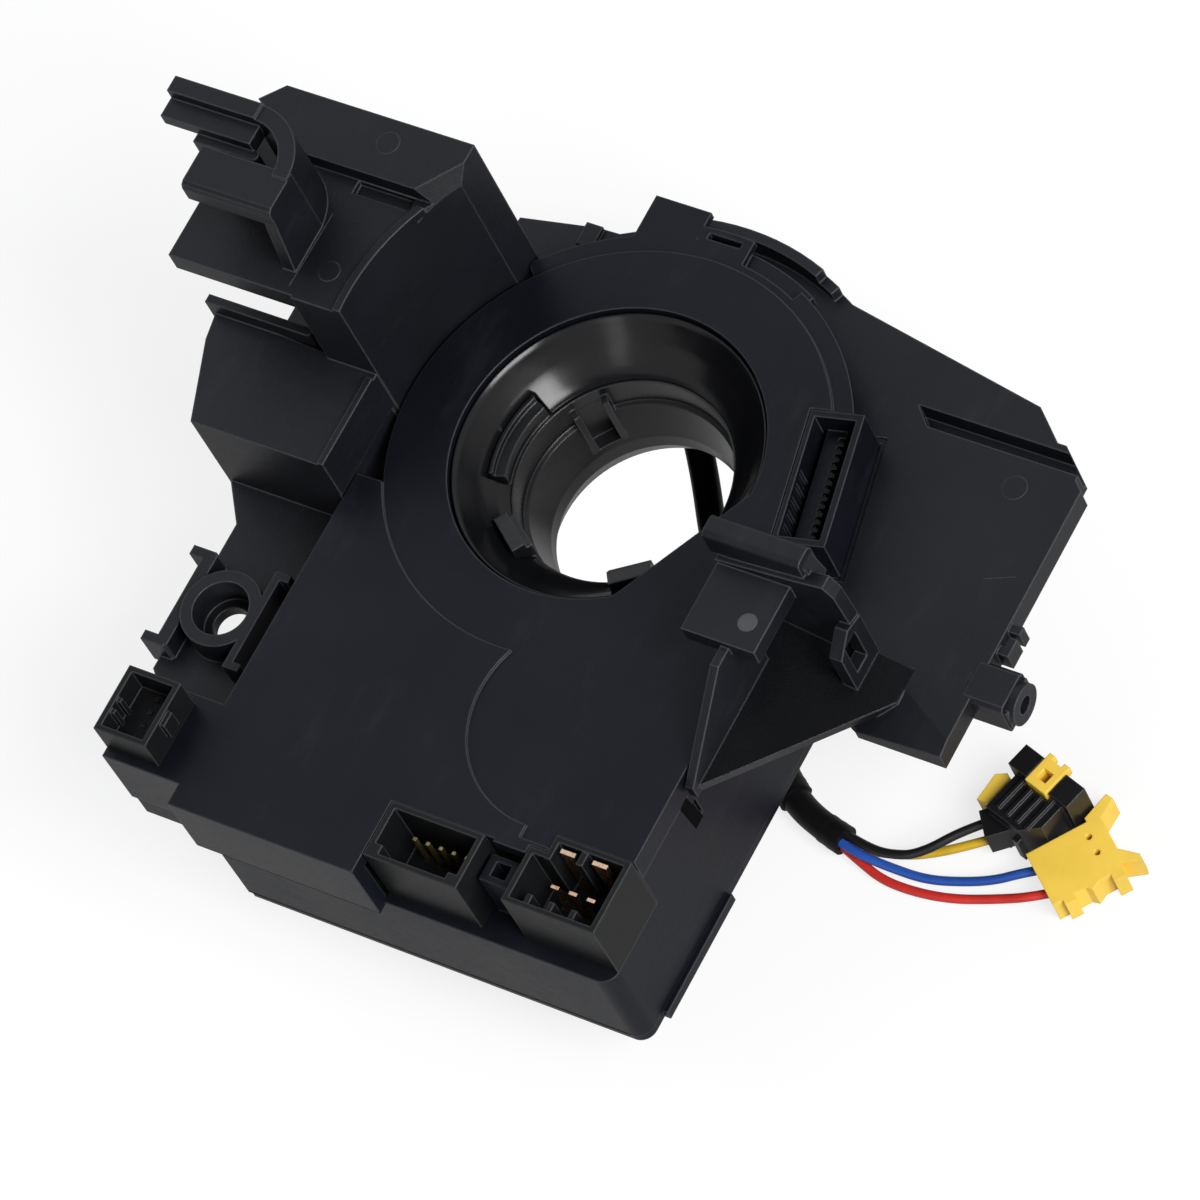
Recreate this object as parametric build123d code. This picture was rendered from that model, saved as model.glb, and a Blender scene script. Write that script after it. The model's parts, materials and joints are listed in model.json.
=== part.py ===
from build123d import *
import math
import os

# Steering clock spring with its electronics unit, in millimetres.
# Heights below are counted from the face that points at the steering column, and +Z leaves it.
# When saved, every piece is lifted so that the origin is on the steering axis, in the middle
# of the narrowest bore. The part lies on the skirt of its rotor, wheel side down.

# Ring and bore
opening_radius = 27.45        # round opening in the face
plateau_radius = 38.5         # raised ring round the opening
flange_radius = 41.9          # outer flange of the ring
ring_drop = 0.5               # how far the ring lies below the face
flange_drop = 1.2
face_plate = 2.2              # thickness of the face
chord_distance = 23.6         # flat of the face across the opening, from the axis
chord_angle = -28.2           # direction of that flat's normal, in degrees
chord_lip = 0.6               # thickness of the lip that covers the collar there

# Electronics case, seen from the column side
case_left = -39.1
case_right = 41.3
case_front = -83.5            # lower edge of the face
case_wall_front = -81.7       # case wall below the face's skirt
case_back = -22.0
case_floor = -34.0
case_wall = 1.8
skirt_depth = 14.5            # skirt of the face on its left half
skirt_thickness = 2.8
short_skirt = 5.5             # skirt of the face on its right edge
notch_x = -2.7                # where the face stops short for the sockets
notch_y = -69.7
right_corner_y = -65.4
ledge_drop = 14.0             # shelf that the sockets stand on
shelf_thickness = 1.6
side_left = -54.5             # side pocket that carries the left socket
side_front = -79.6
side_back = -64.0
side_floor = -20.4
side_floor_thickness = 1.2
cover_thickness = 2.0
cover_rim = 0.9
case_corner = 3.0             # rounding of the case's front right corner

# Circuit board
board_top = -17.2
board_thickness = 1.6
board_gap = 0.5

# Rotor and cassette
hub_radius = 19.4             # bore of the glossy collar
bore_radius = 16.9            # narrowest bore, at the wheel side
bore_land = 3.0               # length of that bore
collar_radius = 27.1
collar_depth = 10.0
collar_wall = 1.5
cassette_radius = 38.4
cassette_wall = 1.6
cassette_top = -11.0
cassette_bottom = -29.0
flange_thickness = 2.6        # rotor flange that closes the cassette
rotor_radius = 37.0
skirt_wall = 2.0
floor_z = -50.0               # the surface that the part lies on
running_gap = 0.35
disc_radius = 32.2
disc_inner = 26.0
disc_thickness = 0.8
disc_z = -6.6

# Carrier frame
base_top = -9.5
base_thickness = 2.6
carrier_gap = 0.4
inner_wall_radius = 39.2
inner_wall = 1.6
tower_top = 32.8
shelf_top = 29.5
tower_left = -68.3
tower_back = 30.4
tower_right = -31.0
tower_front = -4.2
tower_step = 19.6             # where the high part of the tower ends
shell = 2.0
box_top = 10.0
eye_x = -51.4
eye_y = -47.0
eye_top = -4.0
eye_radius = 7.2
eye_counterbore = 5.0
eye_hole = 3.3
eye_floor = 2.2               # thickness of the seat under the screw's head
plate_right = 75.4
plate_front = -27.6
skirt_bottom = -14.0
carrier_wall_radius = 48.0
carrier_wall = 1.8
carrier_wall_bottom = -24.0
boss_x = 83.0
boss_y = -13.3
boss_z = -12.9
boss_radius = 3.6
boss_hole = 1.6
boss_depth = 8.0

# Harness
sleeve_diameter = 5.0
wire_diameter = 1.6
fit = 0.1                     # small clearance between pieces that seat

bore_top = cassette_bottom - running_gap + 1.5 + bore_land
lift = bore_land / 2 - bore_top

os.makedirs("parts", exist_ok=True)


def save(name, shape):
    export_step(Pos(0, 0, lift) * shape, "parts/" + name + ".step")


def block(x0, x1, y0, y1, z0, z1):
    """A box between two opposite corners."""
    return Pos((x0 + x1) / 2, (y0 + y1) / 2, (z0 + z1) / 2) * Box(x1 - x0, y1 - y0, z1 - z0)


def disc(radius, z0, z1, x=0.0, y=0.0):
    """An upright cylinder between two heights."""
    return Pos(x, y, (z0 + z1) / 2) * Cylinder(radius, z1 - z0)


def prism(points, z0, z1):
    """An upright prism on a closed outline."""
    face = make_face(Polyline(*points, close=True))
    return extrude(Pos(0, 0, z0) * face, z1 - z0)


def turned(points):
    """A solid of revolution about the steering axis from (radius, height) points."""
    profile = make_face(Polyline(*[(r, 0, z) for r, z in points], close=True))
    return revolve(profile, Axis.Z, 360)


def sector(radius, start, end, z0, z1):
    """A pie slice of a cylinder between two angles in degrees."""
    steps = 8
    far = radius * 1.4
    angles = [math.radians(start + (end - start) * i / steps) for i in range(steps + 1)]
    outline = [(0, 0)] + [(far * math.cos(a), far * math.sin(a)) for a in angles]
    return prism(outline, z0, z1) & disc(radius, z0, z1)


def on_axis(x, y, angle):
    """A local frame at a place, turned about the vertical."""
    return Pos(x, y, 0) * Rot(0, 0, angle)


def tube(points, diameter, name):
    """A cord of straight runs joined by arcs as large as the runs allow."""
    places = [Vector(*p) for p in points]
    runs = [places[i + 1] - places[i] for i in range(len(places) - 1)]
    radii = []
    for before, after in zip(runs, runs[1:]):
        half = math.radians(before.get_angle(after)) / 2
        radii.append(0.45 * min(before.length, after.length) / math.tan(half))
    path = FilletPolyline(*places, radius=radii)
    start = Plane(origin=places[0], z_dir=runs[0])
    cord = sweep(start * Circle(diameter / 2), path=path)
    expected = math.pi * diameter**2 / 4 * path.length
    print(name, "radii", [round(r, 1) for r in radii], "length", round(path.length, 1),
          "volume share", round(cord.volume / expected, 4))
    return cord


# Comb connector: its place is used by the face, the cassette and the carrier
comb_x, comb_y, comb_turn = 36.9, 7.4, 12.0
comb_width, comb_length, comb_depth = 9.6, 25.0, 10.5
comb_frame = on_axis(comb_x, comb_y, comb_turn)


def comb_block(margin, z0, z1):
    half_x, half_y = comb_width / 2 + margin, comb_length / 2 + margin
    return comb_frame * block(-half_x, half_x, -half_y, half_y, z0, z1)


# Sockets: left, middle and right, as (x0, x1, y0, y1)
left_socket = (-54.3, -44.0, -78.0, -65.6)
left_socket_top = 7.0
left_stem_x, left_stem_y = 2.9, 1.4   # the stem through the face is this much smaller
middle_socket = (-2.4, 15.5, -80.0, -69.8)
right_socket = (23.7, case_right, -79.1, -68.9)
right_socket_step = (27.0, case_right, -70.0, -65.7)
header_wall = 1.0
header_floor = 2.0


def socket_shell(x0, x1, y0, y1, z0, z1, holes):
    """A header shell, open at the top, with holes in its floor for its contacts."""
    body = block(x0, x1, y0, y1, z0, z1)
    body -= block(x0 + header_wall, x1 - header_wall, y0 + header_wall, y1 - header_wall,
                  z0 + header_floor, z1 + 1)
    for x, y, wide, deep in holes:
        body -= block(x - wide / 2 - fit, x + wide / 2 + fit, y - deep / 2 - fit,
                      y + deep / 2 + fit, z0 - 1, z0 + header_floor + 1)
    return body


def contacts(holes, z0, z1):
    """Upright contacts on the circuit board."""
    pins = [block(x - wide / 2, x + wide / 2, y - deep / 2, y + deep / 2, z0, z1)
            for x, y, wide, deep in holes]
    return Compound(children=pins)


pin = 0.64
pin_pitch = 2.54
middle_pins = [(1.9 + i * pin_pitch, -72.9, pin, pin) for i in range(5)]
left_pins = [(-49.2, -75.6 + i * pin_pitch, pin, pin) for i in range(4)]
right_pins = [(28.7 + i * 3.45, -72.4, 1.5, pin) for i in range(3)]
right_blades = [(29.9, -67.6, 2.8, 0.8), (36.0, -67.6, 2.8, 0.8)]

screw_radius = 1.4
screw_head = 2.6
screw_boss = 3.2
boss_inset = screw_boss - 0.6  # bosses merge into the walls by this much less than their radius
boss_left = case_left + 1.7 + case_wall + boss_inset
boss_right = case_right - case_wall - boss_inset
screw_places = [(boss_left, case_wall_front + case_wall + boss_inset), (boss_right, -60.0),
                (boss_left, -36.0), (boss_right, -36.0)]


def make_back_cover():
    """Face plate with the ring, its flange, tab and window, and the skirt."""
    top, under = 0.0, -ring_drop - face_plate
    face = prism([(case_left, -18), (case_left, side_back), (side_left, side_back),
                  (side_left, side_front), (case_left, side_front), (case_left, case_front),
                  (notch_x, case_front), (notch_x, notch_y), (17.2, notch_y), (17.2, -70.2),
                  (23.4, -70.2), (23.4, -68.7), (26.8, -68.7),
                  (26.8, right_corner_y), (case_right, right_corner_y),
                  (case_right, -16)], under, top)
    face += disc(plateau_radius, under, -ring_drop)
    # The lower level runs from the ring into a round field beside it.
    field_x, field_y, field_radius = 21.0, -46.0, 19.7
    low = disc(plateau_radius, -ring_drop, 1) + disc(field_radius, -ring_drop, 1, field_x, field_y)
    low += block(field_x, case_right + 1, -68.0, -10, -ring_drop, 1)
    face -= low
    # Outer flange on the far half of the ring, stepped back beside the arm with the window.
    flange = sector(flange_radius, -20, 138, under, -flange_drop)
    flange -= block(-60, tower_right + carrier_gap, 0, 60, under - 1, 1)
    flange -= sector(60, 66, 90, under - 1, 1) - disc(flange_radius - 1.9, under - 2, 2)
    flange += block(-16.1, -5.2, 30, 47.0, under, -flange_drop)
    arm = sector(44.6, 76, 97, under, -flange_drop) - disc(plateau_radius, under - 1, 1)
    flange += arm & block(-8, 4.7, 30, 60, under, -flange_drop)
    flange -= block(-3.6, 2.8, 42.3, 43.4, under - 1, 1)
    face += flange
    face += sector(flange_radius + 1.0, 64, 88, under - 1.9, under + 0.2) - disc(37.4, -20, 1)
    # Skirt: deep along the left half, shallow along the right edge.
    low_z, t = -skirt_depth, skirt_thickness
    face += block(case_left, notch_x, case_front, case_front + t, low_z, under)
    face += block(case_left, case_left + t, side_back, -30, low_z, under)
    face += block(case_left, case_left + t, case_front, side_front, low_z, under)
    face += block(side_left, case_left + t, side_front, side_front + t, low_z, under)
    face += block(side_left, side_left + t, side_front, side_back, low_z, under)
    face += block(side_left, case_left + t, side_back - t, side_back, low_z, under)
    face += block(case_right - case_wall, case_right, right_corner_y, -30, -short_skirt, under)
    # Opening, with a thin level lip that covers the collar beyond a straight edge.
    far = Rot(0, 0, chord_angle) * block(chord_distance, 60, -60, 60, -20, 20)
    face -= disc(opening_radius, under - 1, 1)
    face += disc(opening_radius + 0.4, -ring_drop - chord_lip, -ring_drop) & far
    face -= comb_block(0.2, -40, 1)
    x0, x1, y0, y1 = left_socket
    in_x, in_y = left_stem_x - fit, left_stem_y - fit
    face -= block(x0 + in_x, x1 - in_x, y0 + in_y, y1 - in_y, under - 1, 1)
    return face


def case_outline(inset, z0, z1):
    """Plan of the case: a rectangle that is cut by the cassette's circle."""
    i = inset
    plan = block(case_left + 1.7 + i, case_right - i, case_wall_front + i, case_back - i, z0, z1)
    corner_x, corner_y = case_right - case_corner, case_wall_front + case_corner
    plan -= block(corner_x, case_right + 1, case_wall_front - 1, corner_y, z0 - 1, z1 + 1)
    plan += disc(case_corner - i, z0, z1, corner_x, corner_y)
    plan -= disc(cassette_radius + 0.3 + i, z0 - 1, z1 + 1)
    return plan


def make_unit_case():
    """The case's walls, the shelf under the sockets and the side pocket."""
    under = -ring_drop - face_plate
    case = case_outline(0, case_floor, under)
    case -= case_outline(case_wall, case_floor - 1, 1)
    # Side pocket, closed below.
    pocket = block(side_left + 0.4, case_left + 3, side_front + 0.4, side_back - 0.4,
                   side_floor, -skirt_depth)
    case += pocket
    case -= block(side_left + 2.2, case_left + 6, side_front + 2.2, side_back - 2.2,
                  side_floor + side_floor_thickness, 1)
    # Walls stop below the skirts of the face.
    case -= block(-60, notch_x, -90, case_wall_front + 6, -skirt_depth, 1)
    case -= block(-60, case_left + skirt_thickness + 0.3, -90, -29.8, -skirt_depth, 1)
    case -= block(case_right - case_wall - 0.3, 60, right_corner_y, -29.8, -short_skirt, 1)
    # Front wall and the end of the right wall stop at the shelf.
    case -= block(notch_x, case_right + 1, -90, right_socket[3], -ledge_drop, 1)
    case -= block(boss_right, case_right + 1, -90, right_socket_step[3] + fit, -ledge_drop, 1)
    shelf_low = -ledge_drop - shelf_thickness
    shelf = block(notch_x, case_right - 1, case_wall_front + 1, notch_y + 1.5, shelf_low, -ledge_drop)
    case += shelf & case_outline(0.5, shelf_low, -ledge_drop)
    for group in (middle_pins, right_pins, right_blades):
        for x, y, wide, deep in group:
            case -= block(x - wide / 2 - fit, x + wide / 2 + fit, y - deep / 2 - fit,
                          y + deep / 2 + fit, shelf_low - 1, 0)
    # Block with a square eye between the two sockets.
    eye = block(16.6, 22.3, -76.0, -71.2, -ledge_drop, -3.0)
    eye -= block(18.1, 20.9, -74.8, -72.2, -8.0, 0)
    case += eye
    # Small slot in the right wall.
    case -= block(case_right - 0.9, case_right + 1, -50.8, -48.9, -12.6, -8.0)
    # Screw bosses from the floor to the board.
    for x, y in screw_places:
        case += disc(screw_boss, case_floor, board_top - board_thickness, x, y)
        case -= disc(screw_radius + fit, case_floor - 1, board_top - board_thickness - 2, x, y)
    return case


def make_circuit_board():
    low, top = board_top - board_thickness, board_top
    board = case_outline(case_wall + board_gap, low, top)
    board += block(side_left + 3.0, case_left + 6, side_front + 3.0, side_back - 3.0, low, top)
    return board


def make_front_cover():
    """Plate that closes the case from below, with a stepped rim and screw holes."""
    low = case_floor - cover_thickness
    cover = case_outline(0.3, low, case_floor)
    cover += block(case_right - 1.0, case_right + cover_rim, -76.0, -53.0, low, case_floor)
    cover += case_outline(case_wall + 0.3, case_floor, case_floor + 1.2)
    for x, y in screw_places:
        cover -= disc(screw_boss + 0.3, case_floor, case_floor + 2, x, y)
        cover -= disc(screw_radius + 0.3, low - 1, case_floor + 2, x, y)
        cover -= disc(screw_head + 0.2, low - 1, low + 1.2, x, y)
    return cover


def make_cover_screws():
    low = case_floor - cover_thickness
    screws = []
    for x, y in screw_places:
        head = disc(screw_head, low + 0.1, low + 1.2, x, y)
        head -= block(x - 1.6, x + 1.6, y - 0.35, y + 0.35, low, low + 0.6)
        head -= block(x - 0.35, x + 0.35, y - 1.6, y + 1.6, low, low + 0.6)
        screws.append(head + disc(screw_radius, low + 1.2, case_floor + 12, x, y))
    return Compound(children=screws)


def make_board_chips():
    """Processor, driver and two capacitors."""
    z = board_top
    chips = [block(-12, -2, -62, -52, z, z + 1.6), block(4, 11, -60, -54, z, z + 1.8),
             disc(3.1, z, z + 7.5, -24, -58), disc(3.1, z, z + 7.5, -24, -66),
             block(-20, -14, -72, -66, z, z + 2.4)]
    return Compound(children=chips)


def make_left_header():
    x0, x1, y0, y1 = left_socket
    in_x, in_y = left_stem_x, left_stem_y
    shell_part = socket_shell(x0, x1, y0, y1, 0, left_socket_top, left_pins)
    stem = block(x0 + in_x, x1 - in_x, y0 + in_y, y1 - in_y, board_top, header_floor)
    for x, y, wide, deep in left_pins:
        stem -= block(x - wide / 2 - fit, x + wide / 2 + fit, y - deep / 2 - fit,
                      y + deep / 2 + fit, board_top - 1, header_floor + 1)
    shell_part += stem
    # Keys inside the left wall and a catch outside the right one.
    for y in (-74.4, -72.2):
        shell_part += block(x0 + 0.5, x0 + header_wall + 0.8, y, y + 0.9, 2.2, left_socket_top - 0.4)
    shell_part += block(x1 - 0.4, x1 + 0.9, -73.4, -70.6, 2.4, left_socket_top - 0.6)
    return shell_part


def make_middle_header():
    shell_part = socket_shell(*middle_socket, -ledge_drop, 0.2, middle_pins)
    x0, x1, y0, y1 = middle_socket
    # Polarising ribs in two corners.
    shell_part += block(x0 + 1, x0 + 2.4, y0 + 1, y0 + 2.6, -ledge_drop + 1, 0.2)
    shell_part += block(x1 - 2.6, x1 - 1, y0 + 1, y0 + 2.2, -ledge_drop + 1, 0.2)
    return shell_part


def make_right_header():
    shell_part = socket_shell(*right_socket, -ledge_drop, 0.2, right_pins)
    shell_part += socket_shell(*right_socket_step, -ledge_drop, 0.2, right_blades)
    x0, x1, y0, y1 = right_socket
    step = right_socket_step
    shell_part -= block(step[0] + header_wall, x1 - header_wall, y1 - 3, step[3] - header_wall,
                        -ledge_drop + header_floor, 1)
    # Guide ribs on the front wall and a post between the blades.
    for i in range(3):
        x = x0 + 3.6 + i * 4.2
        shell_part += block(x - 0.5, x + 0.5, y0 + 1, y0 + 3.0, -ledge_drop + 1, -1.0)
    middle = (right_blades[0][0] + right_blades[1][0]) / 2
    shell_part += block(middle - 0.6, middle + 0.6, step[3] - 3.4, step[3] - 1, -ledge_drop + 1, 0)
    return shell_part


comb_teeth = 14
comb_pitch = 1.47
comb_bed = 4.45                       # depth of the toothed bed inside the trough
comb_rows = [-comb_length / 2 + 2.9 + i * comb_pitch for i in range(comb_teeth)]


def make_comb_connector():
    """Ribbon header: a trough round a bed whose far edge is toothed, with slots in one wall."""
    shell_part = comb_block(-0.1, -comb_depth, -0.3)
    left, right, half = -comb_width / 2 + 1.0, comb_width / 2 - 1.3, comb_length / 2 - 1.3
    shell_part -= comb_frame * block(left, right, -half, half, -comb_depth + 2.0, 1)
    shell_part += comb_frame * block(-2.6, 0.9, -half - 0.5, half + 0.5, -comb_depth + 1, -comb_bed)
    for y in comb_rows:
        shell_part -= comb_frame * block(-0.2, 1.4, y - comb_pitch / 4, y + comb_pitch / 4,
                                         -comb_depth + 2.0, 1)
    for i in range(5):
        y = -half + 2.2 + i * 2.5
        shell_part -= comb_frame * block(left - 0.6, left + 0.2, y - 0.65, y + 0.65, -7.5, -1.4)
    return shell_part


def make_comb_contacts():
    springs = [comb_frame * block(-0.2, 0.2, y - 0.25, y + 0.25, -comb_depth + 2.0, -comb_bed - 0.4)
               for y in comb_rows]
    return Compound(children=springs)


def make_cassette_housing():
    """Fixed cup round the ribbon: a roof, an outer wall and the lug under the comb."""
    inner = collar_radius - 0.2
    cup = turned([(inner, cassette_top), (cassette_radius, cassette_top),
                  (cassette_radius, cassette_bottom), (cassette_radius - cassette_wall, cassette_bottom),
                  (cassette_radius - cassette_wall, cassette_top - 1.6), (inner, cassette_top - 1.6)])
    lug = comb_block(0.0, cassette_top - 2.0, -comb_depth - 0.1)
    lug += comb_block(0.0, cassette_top - 2.0, cassette_top) - disc(inner, -40, 1)
    cup += lug - disc(inner, -40, 1)
    # Roof posts that carry the face.
    for angle in (35, 95, 150, 215):
        x = 37.2 * math.cos(math.radians(angle))
        y = 37.2 * math.sin(math.radians(angle))
        cup += disc(1.1, cassette_top - 0.5, -ring_drop - face_plate, x, y)
    return cup


def make_ribbon_coil():
    """The flat ribbon's turns as one thin spiral wall."""
    turns, start_radius, pitch, thickness = 5, 24.5, 2.1, 0.5
    outer, inner = [], []
    steps = int(24 * turns)
    for i in range(steps + 1):
        angle = 2 * math.pi * i / 24
        radius = start_radius + pitch * i / 24
        outer.append(((radius + thickness) * math.cos(angle), (radius + thickness) * math.sin(angle)))
        inner.append((radius * math.cos(angle), radius * math.sin(angle)))
    edge_out = Spline(*outer)
    edge_in = Spline(*inner)
    ends = [Line(outer[0], inner[0]), Line(outer[-1], inner[-1])]
    face = make_face([edge_out, edge_in] + ends)
    low = cassette_bottom + 2.2
    return extrude(Pos(0, 0, low) * face, cassette_top - 1.6 - 0.4 - low)


def make_ribbon_terminal():
    """Block that clamps the ribbon's outer end on the roof of the cassette."""
    frame = on_axis(0, 0, -62)
    top = frame * block(30.5, 35.5, -5, 5, cassette_top, cassette_top + 2.6)
    return top


latch_angles = (235, 305)
wide_latch = (158, 202)               # the broad latch, from and to in degrees
rib_angles = (131, 149)               # ribs on both sides of the recess in the bore


def make_rotor_collar():
    """Glossy funnel in the opening, with notches for the latches."""
    top, bottom = -ring_drop - chord_lip - running_gap, -collar_depth
    funnel = turned([(collar_radius, top), (collar_radius, -4.6), (25.9, -4.6), (25.9, -7.6),
                     (24.6, bottom), (hub_radius, bottom), (hub_radius, -9.7), (20.3, -9.3),
                     (24.2, -5.2), (25.7, -2.2), (26.3, top)])
    for angle in latch_angles:
        funnel -= Rot(0, 0, angle) * block(hub_radius - 2, hub_radius + 2.4, -4.2, 4.2, -12, 1)
    return funnel - sector(22.8, wide_latch[0], wide_latch[1], -12, 1)


def make_code_disc():
    """Code disc with windows round its rim, seated under the collar's lip."""
    plate = turned([(disc_inner, disc_z), (disc_radius, disc_z), (disc_radius, disc_z + disc_thickness),
                    (disc_inner, disc_z + disc_thickness)])
    windows = 30
    for i in range(windows):
        plate -= Rot(0, 0, 360 / windows * i) * block(disc_radius - 2.9, disc_radius - 0.8,
                                                      -1.1, 1.1, -12, 1)
    return plate


def make_rotor_hub():
    """Hub tube, flange and skirt in one moulding, with latches and a cable notch."""
    tube_out = 22.6
    flange_top = cassette_bottom - running_gap
    flange_low = flange_top - flange_thickness
    land_low = flange_top + 1.5
    hub = turned([(19.0, -10.3), (tube_out, -10.3), (tube_out, flange_top),
                  (rotor_radius, flange_top), (rotor_radius, floor_z),
                  (rotor_radius - skirt_wall, floor_z), (rotor_radius - skirt_wall, flange_low),
                  (bore_radius + 1.8, flange_low), (bore_radius, land_low),
                  (bore_radius, land_low + bore_land), (18.2, -16.4), (19.0, -16.0)])
    for angle in latch_angles:
        arm = block(hub_radius - 1.2, hub_radius + 2.0, -3.7, 3.7, -11.5, -7.2)
        arm += block(hub_radius - 0.2, hub_radius + 2.2, -3.7, 3.7, -7.4, -5.9)
        hub += Rot(0, 0, angle) * arm
    low_end, high_end = wide_latch[0] + 1.5, wide_latch[1] - 1.5
    broad = sector(22.4, low_end, high_end, -11.0, -7.6) - disc(19.7, -20, 1)
    broad += sector(22.4, low_end, high_end, -7.7, -6.5) - disc(21.7, -20, 1)
    hub += broad
    # Recess in the bore's wall between two ribs.
    hub -= sector(19.8, rib_angles[0], rib_angles[1], -23.5, -13.0) - disc(15, -40, 1)
    for angle in rib_angles:
        hub += Rot(0, 0, angle) * block(17.05, 20.0, -0.6, 0.6, -24.5, -12.2)
    for i in range(6):
        hub += Rot(0, 0, 60 * i + 10) * block(28.0, 35.5, -0.7, 0.7, flange_low - 5, flange_low + 1)
    notch = Rot(0, 0, notch_angle) * block(30, 42, -4.6, 4.6, floor_z - 1, floor_z + 8)
    return hub - notch


notch_angle = -37.0

# Cable sleeve route, from the gland under the rotor flange to where the wires part
sleeve_route = [(-12.8, 28.6, -41.7), (-10.4, 25.4, -43.6), (-6.2, 19.5, -45.9), (-0.5, 11.0, -47.2),
                (8.8, -0.8, -47.4), (19.9, -13.1, -47.4), (29.6, -23.1, -47.4),
                (36.7, -28.72, -47.4), (43.04, -31.6, -47.4), (49.0, -32.9, -47.4)]

# Wire routes, from the end of the sleeve into the plugs
yellow_route = [(49.18, -32.07, -48.25), (52.70, -32.83, -48.40), (57.40, -31.60, -49.15),
                (62.60, -29.70, -49.10), (70.31, -26.06, -46.90), (76.88, -20.83, -46.90)]
black_route = [(49.18, -32.07, -46.55), (52.70, -32.83, -46.50), (57.50, -33.10, -46.20),
               (63.00, -31.60, -45.40), (68.94, -24.33, -44.80), (75.51, -19.10, -44.80)]
blue_route = [(48.82, -33.73, -46.55), (52.40, -34.50, -46.90), (58.20, -34.30, -48.30),
              (64.60, -33.90, -49.15), (70.90, -32.00, -49.15), (75.90, -30.10, -48.60),
              (80.05, -28.00, -47.20), (83.80, -25.70, -47.20)]
red_route = [(48.82, -33.73, -48.25), (52.30, -34.90, -48.70), (57.40, -36.50, -49.15),
             (63.60, -36.60, -49.15), (70.20, -35.60, -49.15), (76.60, -33.50, -48.80),
             (83.80, -31.30, -47.20), (87.60, -28.68, -47.20)]


def make_cable_gland():
    """Clamp under the rotor flange that the cable leaves."""
    first = Vector(*sleeve_route[0])
    heading = (Vector(*sleeve_route[1]) - first).normalized()
    body = Plane(origin=first - heading * 5, z_dir=heading) * Cylinder(
        3.8, 5, align=(Align.CENTER, Align.CENTER, Align.MIN))
    flange_low = cassette_bottom - running_gap - flange_thickness
    foot = on_axis(first.X - heading.X * 2.6, first.Y - heading.Y * 2.6, -53)
    body += foot * block(-2.2, 1.8, -3.6, 3.6, first.Z + 1.5, flange_low)
    body = body & disc(rotor_radius - skirt_wall - 0.3, -60, flange_low)
    return body


plug_angle = -17.0
plug_x, plug_y = 79.7, -13.6
plug_frame = on_axis(plug_x, plug_y, plug_angle)
plug_top = floor_z + 11.0
snout_x, snout_y, snout_angle = 71.5, -23.7, 38.5
slide_travel = 1.8


def make_airbag_plug():
    """Black airbag plug: body, head with a gate for the slide lock, and the wire snout."""
    body = plug_frame * prism([(-5.2, -9.8), (2.4, -9.8), (5.2, -7.0), (5.2, -1.0), (-5.2, -1.0)],
                              floor_z, plug_top - 1.6)
    body += plug_frame * block(-6.8, 6.8, -2.2, 2.2, floor_z, plug_top)
    body += plug_frame * block(-3.0, -1.6, -10.8, -9.6, floor_z, floor_z + 6)
    body += plug_frame * block(0.6, 2.0, -10.8, -9.6, floor_z, floor_z + 6)
    snout = on_axis(snout_x, snout_y, snout_angle)
    body += snout * block(0, 7.0, -2.6, 2.6, -48.6, -43.2)
    body -= snout * block(-1, 6.0, -2.1, 2.1, -48.0, -43.8)
    for x in (-3.6, -1.4, 0.8, 3.0):
        body += plug_frame * block(x, x + 0.7, -8.8, -2.0, plug_top - 2.0, plug_top - 1.0)
    body -= plug_frame * block(-2.6, 2.6, -3.0, 3.0, floor_z + 5.9, plug_top + 1)
    return body


def make_plug_lock():
    """Yellow slide lock with a square eye, in the gate of the airbag plug."""
    lock = plug_frame * block(-2.3, 2.3, -2.7, 2.6, floor_z + 6.2, plug_top + 0.3)
    lock -= plug_frame * block(-1.0, 1.0, -1.2, 0.8, floor_z + 6.2 + 1.5, plug_top + 1)
    lock += plug_frame * block(-2.3, -1.1, 1.6, 3.4, plug_top - 1.6, plug_top + 0.3)
    lock += plug_frame * block(1.1, 2.3, 1.6, 3.4, plug_top - 1.6, plug_top + 0.3)
    return lock


def make_plug_clip():
    """Yellow side wing that is clipped on the airbag plug."""
    wing = prism([(-5.3, -8.6), (-5.3, -3.6), (-7.6, -2.8), (-9.2, -4.2), (-8.4, -9.4)],
                 floor_z + 3.0, floor_z + 7.5)
    snout = on_axis(snout_x, snout_y, snout_angle) * block(-1, 7.2, -2.8, 2.8, -48.8, -43.0)
    return plug_frame * wing - snout


horn_angle = -38.2
horn_x, horn_y = 84.7, -28.95
horn_frame = on_axis(horn_x, horn_y, horn_angle)
horn_low, horn_top = floor_z, floor_z + 5.2


def make_horn_plug():
    """Flat yellow plug with two prongs, side tabs and two test holes."""
    outline = [(-5.6, 0), (5.3, 0), (5.3, 1.8), (6.4, 1.8), (6.4, 3.9), (5.3, 3.9), (5.3, 6.0),
               (6.2, 6.9), (5.3, 8.6), (5.3, 10.6), (6.8, 10.6), (6.8, 12.8), (4.2, 12.8),
               (5.6, 16.2), (4.4, 16.4), (1.6, 13.6), (-5.0, 13.6), (-7.2, 16.8), (-8.6, 16.2),
               (-6.4, 11.2), (-5.6, 11.2)]
    plug = horn_frame * prism(outline, horn_low, horn_top)
    for x in (-2.9, 0.4):
        plug -= horn_frame * disc(0.55, horn_top - 3, horn_top + 1, x, 10.4)
    plug -= horn_frame * block(-4.0, 3.6, 6.5, 9.5, horn_low - 1, horn_low + 0.8)
    plug -= horn_frame * block(-4.2, 3.0, -1.0, 2.2, -48.3, -46.1)
    return plug


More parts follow.
